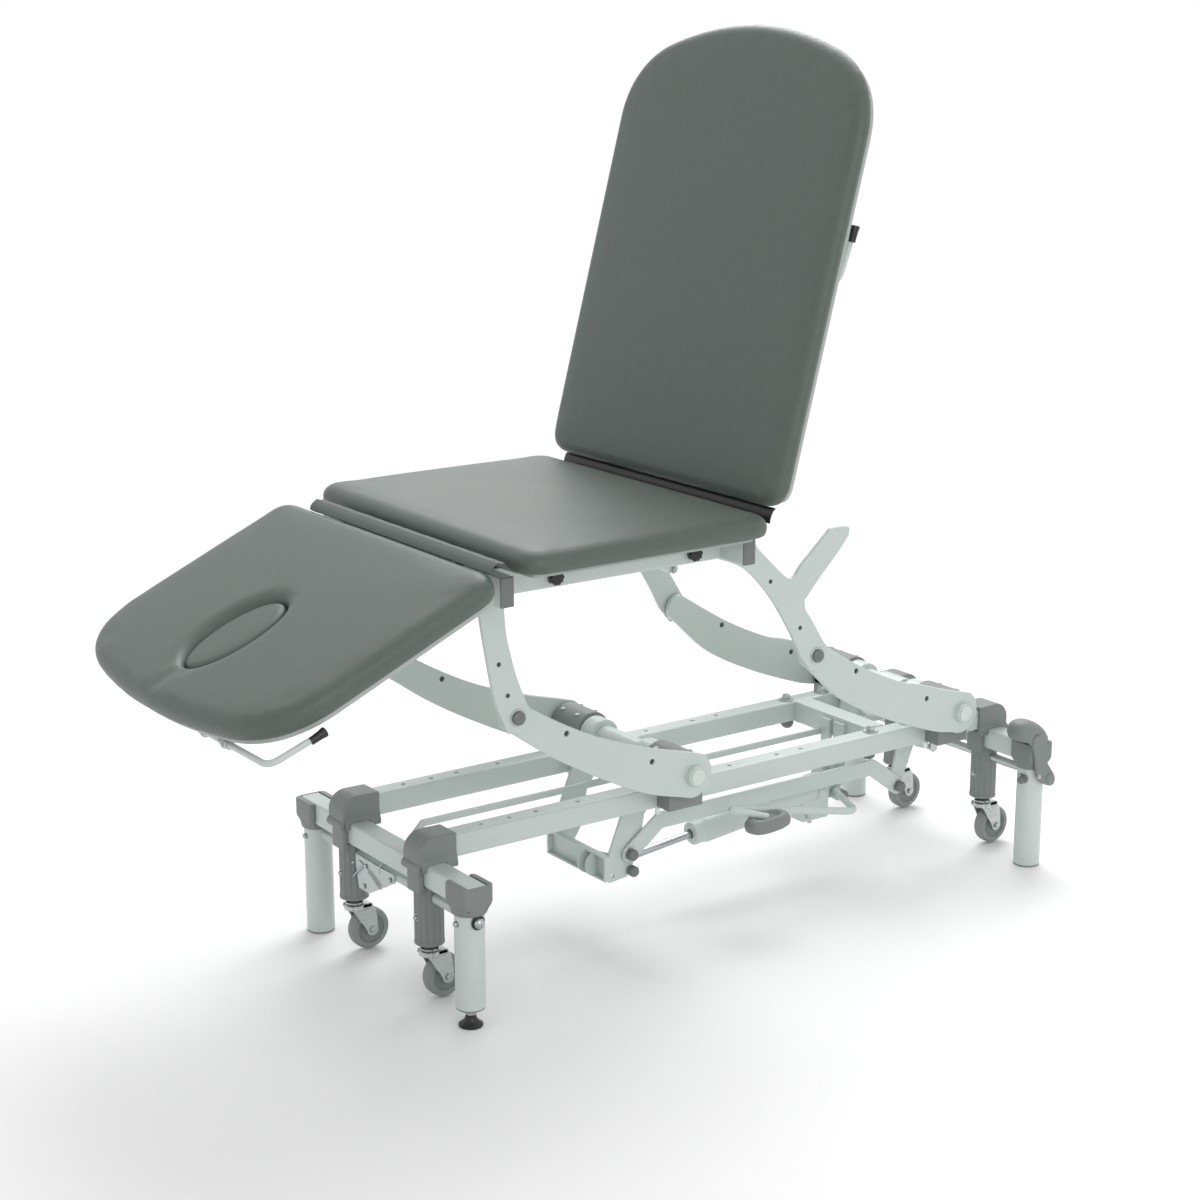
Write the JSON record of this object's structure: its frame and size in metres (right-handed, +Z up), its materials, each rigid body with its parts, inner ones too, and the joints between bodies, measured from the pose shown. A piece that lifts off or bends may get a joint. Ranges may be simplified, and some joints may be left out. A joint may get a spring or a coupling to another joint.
{
  "type": "treatment couch",
  "caption": "Height-adjustable treatment couch with a folding back rest, a tilting head rest with a face opening and plug, a foot-pumped parallel-arm lift and lowering castors.",
  "frame": {"origin": "middle of the footprint at floor level, with the couch as pictured", "axes": "+X from the head rest towards the back rest, +Y to the side away from the pump pedal, +Z up"},
  "size_m": [1.835, 0.714, 1.6409],
  "materials": {
    "black": "matt",
    "board": "coated board on steel beams",
    "chrome": "polished",
    "paint": "satin powder coat",
    "plastic": "matt moulded",
    "tyre": "grey rubber",
    "vinyl": "soft vinyl with a fine grain",
    "zinc": "zinc plated"
  },
  "bodies": {
    "base": {"cross_tube_head": "paint", "cross_tube_back": "paint", "rail_right": "paint", "rail_left": "paint", "cross_member": "paint", "leg_head_right": "paint", "leg_collar_head_right": "plastic", "rail_hood_head_right": "plastic", "castor_column_head_right": "plastic", "leg_head_left": "paint", "leg_collar_head_left": "plastic", "rail_hood_head_left": "plastic", "castor_column_head_left": "plastic", "leg_back_right": "paint", "leg_collar_back_right": "plastic", "rail_hood_back_right": "plastic", "castor_column_back_right": "plastic", "leg_back_left": "paint", "leg_collar_back_left": "plastic", "rail_hood_back_left": "plastic", "castor_column_back_left": "plastic", "bearing_saddle_head_right": "plastic", "bearing_saddle_head_left": "plastic", "bearing_saddle_back_right": "plastic", "bearing_saddle_back_left": "plastic"},
    "castor_pedal": {"castor_pedal": "plastic"},
    "castor_shaft_head": {"castor_shaft_head": "zinc"},
    "castor_link_bar": {"castor_link_bar": "paint"},
    "castor_stem_head_right": {"castor_stem_head_right": "black"},
    "castor_fork_head_right": {"castor_fork_head_right": "zinc"},
    "castor_wheel_head_right": {"castor_wheel_head_right": "tyre"},
    "castor_stem_head_left": {"castor_stem_head_left": "black"},
    "castor_fork_head_left": {"castor_fork_head_left": "zinc"},
    "castor_wheel_head_left": {"castor_wheel_head_left": "tyre"},
    "castor_stem_back_right": {"castor_stem_back_right": "black"},
    "castor_fork_back_right": {"castor_fork_back_right": "zinc"},
    "castor_wheel_back_right": {"castor_wheel_back_right": "tyre"},
    "castor_stem_back_left": {"castor_stem_back_left": "black"},
    "castor_fork_back_left": {"castor_fork_back_left": "zinc"},
    "castor_wheel_back_left": {"castor_wheel_back_left": "tyre"},
    "levelling_foot": {"levelling_foot": "black"},
    "lift_arm_head": {"lift_arm_head": "paint"},
    "lift_arm_back": {"lift_arm_back": "paint"},
    "coupler_bar": {"coupler_bar": "paint"},
    "upper": {"upper_frame": "paint", "seat_cushion": "vinyl"},
    "pump": {"pump_cylinder": "paint"},
    "piston_rod": {"piston_rod": "chrome"},
    "pump_pedal": {"pump_pedal": "paint"},
    "head_section": {"head_panel": "board", "head_cushion": "vinyl"},
    "face_plug": {"face_plug": "vinyl"},
    "back_section": {"back_panel": "board", "back_cushion": "vinyl"},
    "head_release_lever": {"head_release_lever": "paint"},
    "back_release_lever": {"back_release_lever": "paint"},
    "head_strut_tube": {"head_strut_tube": "black"},
    "head_strut_rod": {"head_strut_rod": "chrome"},
    "back_strut_tube": {"back_strut_tube": "black"},
    "back_strut_rod": {"back_strut_rod": "chrome"}
  },
  "joints": [
    {"name": "castor_pedal_turn", "type": "hinge", "parent": "base", "child": "castor_pedal", "pos_m": [0.852, 0, 0.195], "axis": [0, 1, 0], "range_deg": [-20, 0]},
    {"name": "castor_shaft_head_turn", "type": "hinge", "parent": "base", "child": "castor_shaft_head", "pos_m": [-0.4666, 0, 0.195], "axis": [0, 1, 0], "range_deg": [-20, 0]},
    {"name": "castor_link_bar_turn", "type": "hinge", "parent": "castor_shaft_head", "child": "castor_link_bar", "pos_m": [-0.4666, 0.023, 0.169], "axis": [0, 1, 0], "range_deg": [0, 20]},
    {"name": "castor_head_right_lower", "type": "slide", "parent": "base", "child": "castor_stem_head_right", "axis": [0, 0, -1], "range_m": [0, 0.018]},
    {"name": "castor_head_right_swivel", "type": "hinge", "parent": "castor_stem_head_right", "child": "castor_fork_head_right", "pos_m": [-0.4666, -0.13, 0.09], "axis": [0, 0, 1], "continuous": true},
    {"name": "castor_head_right_roll", "type": "hinge", "parent": "castor_fork_head_right", "child": "castor_wheel_head_right", "pos_m": [-0.4396, -0.13, 0.0415], "axis": [0, 1, 0], "continuous": true},
    {"name": "castor_head_left_lower", "type": "slide", "parent": "base", "child": "castor_stem_head_left", "axis": [0, 0, -1], "range_m": [0, 0.018]},
    {"name": "castor_head_left_swivel", "type": "hinge", "parent": "castor_stem_head_left", "child": "castor_fork_head_left", "pos_m": [-0.4666, 0.13, 0.09], "axis": [0, 0, 1], "continuous": true},
    {"name": "castor_head_left_roll", "type": "hinge", "parent": "castor_fork_head_left", "child": "castor_wheel_head_left", "pos_m": [-0.4396, 0.13, 0.0415], "axis": [0, 1, 0], "continuous": true},
    {"name": "castor_back_right_lower", "type": "slide", "parent": "base", "child": "castor_stem_back_right", "axis": [0, 0, -1], "range_m": [0, 0.018]},
    {"name": "castor_back_right_swivel", "type": "hinge", "parent": "castor_stem_back_right", "child": "castor_fork_back_right", "pos_m": [0.852, -0.13, 0.09], "axis": [0, 0, 1], "continuous": true},
    {"name": "castor_back_right_roll", "type": "hinge", "parent": "castor_fork_back_right", "child": "castor_wheel_back_right", "pos_m": [0.879, -0.13, 0.0415], "axis": [0, 1, 0], "continuous": true},
    {"name": "castor_back_left_lower", "type": "slide", "parent": "base", "child": "castor_stem_back_left", "axis": [0, 0, -1], "range_m": [0, 0.018]},
    {"name": "castor_back_left_swivel", "type": "hinge", "parent": "castor_stem_back_left", "child": "castor_fork_back_left", "pos_m": [0.852, 0.13, 0.09], "axis": [0, 0, 1], "continuous": true},
    {"name": "castor_back_left_roll", "type": "hinge", "parent": "castor_fork_back_left", "child": "castor_wheel_back_left", "pos_m": [0.879, 0.13, 0.0415], "axis": [0, 1, 0], "continuous": true},
    {"name": "levelling_foot_screw", "type": "slide", "parent": "base", "child": "levelling_foot", "axis": [0, 0, 1], "range_m": [-0.012, 0.01]},
    {"name": "lift", "type": "hinge", "parent": "base", "child": "lift_arm_head", "pos_m": [0.0446, 0, 0.3304], "axis": [0, 1, 0], "range_deg": [-40, 24]},
    {"name": "lift_arm_back_turn", "type": "hinge", "parent": "base", "child": "lift_arm_back", "pos_m": [0.7051, 0, 0.3304], "axis": [0, 1, 0], "range_deg": [-40, 24]},
    {"name": "upper_frame_level", "type": "hinge", "parent": "lift_arm_head", "child": "upper", "pos_m": [-0.3386, 0, 0.5111], "axis": [0, 1, 0], "range_deg": [-24, 40]},
    {"name": "coupler_bar_level", "type": "hinge", "parent": "lift_arm_head", "child": "coupler_bar", "pos_m": [-0.0154, -0.098, 0.1604], "axis": [0, 1, 0], "range_deg": [-24, 40]},
    {"name": "pump_swing", "type": "hinge", "parent": "base", "child": "pump", "pos_m": [0.5327, -0.045, 0.182], "axis": [0, 1, 0], "range_deg": [-3.7, 2.3]},
    {"name": "piston_rod_slide", "type": "slide", "parent": "pump", "child": "piston_rod", "axis": [-0.9947, 0, -0.1026], "range_m": [-0.14, 0.085]},
    {"name": "pump_pedal_stroke", "type": "hinge", "parent": "pump", "child": "pump_pedal", "pos_m": [0.5177, -0.065, 0.16], "axis": [0, 1, 0], "range_deg": [-20, 0], "stiffness_Nm_per_rad": 12, "springref_deg": 22.92},
    {"name": "head_tilt", "type": "hinge", "parent": "upper", "child": "head_section", "pos_m": [-0.4113, 0, 0.787], "axis": [0, 1, 0], "range_deg": [-20, 49.1]},
    {"name": "back_tilt", "type": "hinge", "parent": "upper", "child": "back_section", "pos_m": [0.1327, 0, 0.787], "axis": [0, 1, 0], "range_deg": [-4.9, 75.1]},
    {"name": "face_plug_out", "type": "slide", "parent": "head_section", "child": "face_plug", "axis": [-0.4083, 0, 0.9128], "range_m": [0, 0.06]},
    {"name": "head_release_pull", "type": "hinge", "parent": "head_section", "child": "head_release_lever", "pos_m": [-0.86777, 0, 0.56048], "axis": [0, 1, 0], "range_deg": [0, 20], "stiffness_Nm_per_rad": 2, "springref_deg": -17.19},
    {"name": "back_release_pull", "type": "hinge", "parent": "back_section", "child": "back_release_lever", "pos_m": [0.26662, 0, 1.20791], "axis": [0, 1, 0], "range_deg": [0, 20], "stiffness_Nm_per_rad": 2, "springref_deg": -17.19},
    {"name": "head_strut_tube_swing", "type": "hinge", "parent": "upper", "child": "head_strut_tube", "pos_m": [-0.3673, 0, 0.63], "axis": [0, 1, 0], "range_deg": [-1, 2]},
    {"name": "head_strut_rod_slide", "type": "slide", "parent": "head_strut_tube", "child": "head_strut_rod", "axis": [-0.6259, 0, 0.7799], "range_m": [-0.0235, 0.0545]},
    {"name": "back_strut_tube_swing", "type": "hinge", "parent": "upper", "child": "back_strut_tube", "pos_m": [0.1427, 0, 0.66], "axis": [0, 1, 0], "range_deg": [-1.9, 28.1]},
    {"name": "back_strut_rod_slide", "type": "slide", "parent": "back_strut_tube", "child": "back_strut_rod", "axis": [0.1676, 0, 0.9858], "range_m": [-0.0722, 0.005]}
  ],
  "couplings": [
    {"joint": "castor_shaft_head_turn", "follows": "castor_pedal_turn", "ratio": 1},
    {"joint": "castor_link_bar_turn", "follows": "castor_pedal_turn", "ratio": -1},
    {"joint": "castor_head_right_lower", "follows": "castor_pedal_turn", "m_per_rad": -0.0515},
    {"joint": "castor_head_left_lower", "follows": "castor_pedal_turn", "m_per_rad": -0.0515},
    {"joint": "castor_back_right_lower", "follows": "castor_pedal_turn", "m_per_rad": -0.0515},
    {"joint": "castor_back_left_lower", "follows": "castor_pedal_turn", "m_per_rad": -0.0515},
    {"joint": "lift_arm_back_turn", "follows": "lift", "ratio": 1},
    {"joint": "upper_frame_level", "follows": "lift", "ratio": -1},
    {"joint": "coupler_bar_level", "follows": "lift", "ratio": -1},
    {"joint": "pump_swing", "follows": "lift", "ratio": 0.09},
    {"joint": "piston_rod_slide", "follows": "lift", "m_per_rad": 0.1976},
    {"joint": "head_strut_tube_swing", "follows": "head_tilt", "ratio": 0.0337},
    {"joint": "head_strut_rod_slide", "follows": "head_tilt", "m_per_rad": 0.062556},
    {"joint": "back_strut_tube_swing", "follows": "back_tilt", "ratio": 0.3732},
    {"joint": "back_strut_rod_slide", "follows": "back_tilt", "m_per_rad": -0.054803}
  ]
}
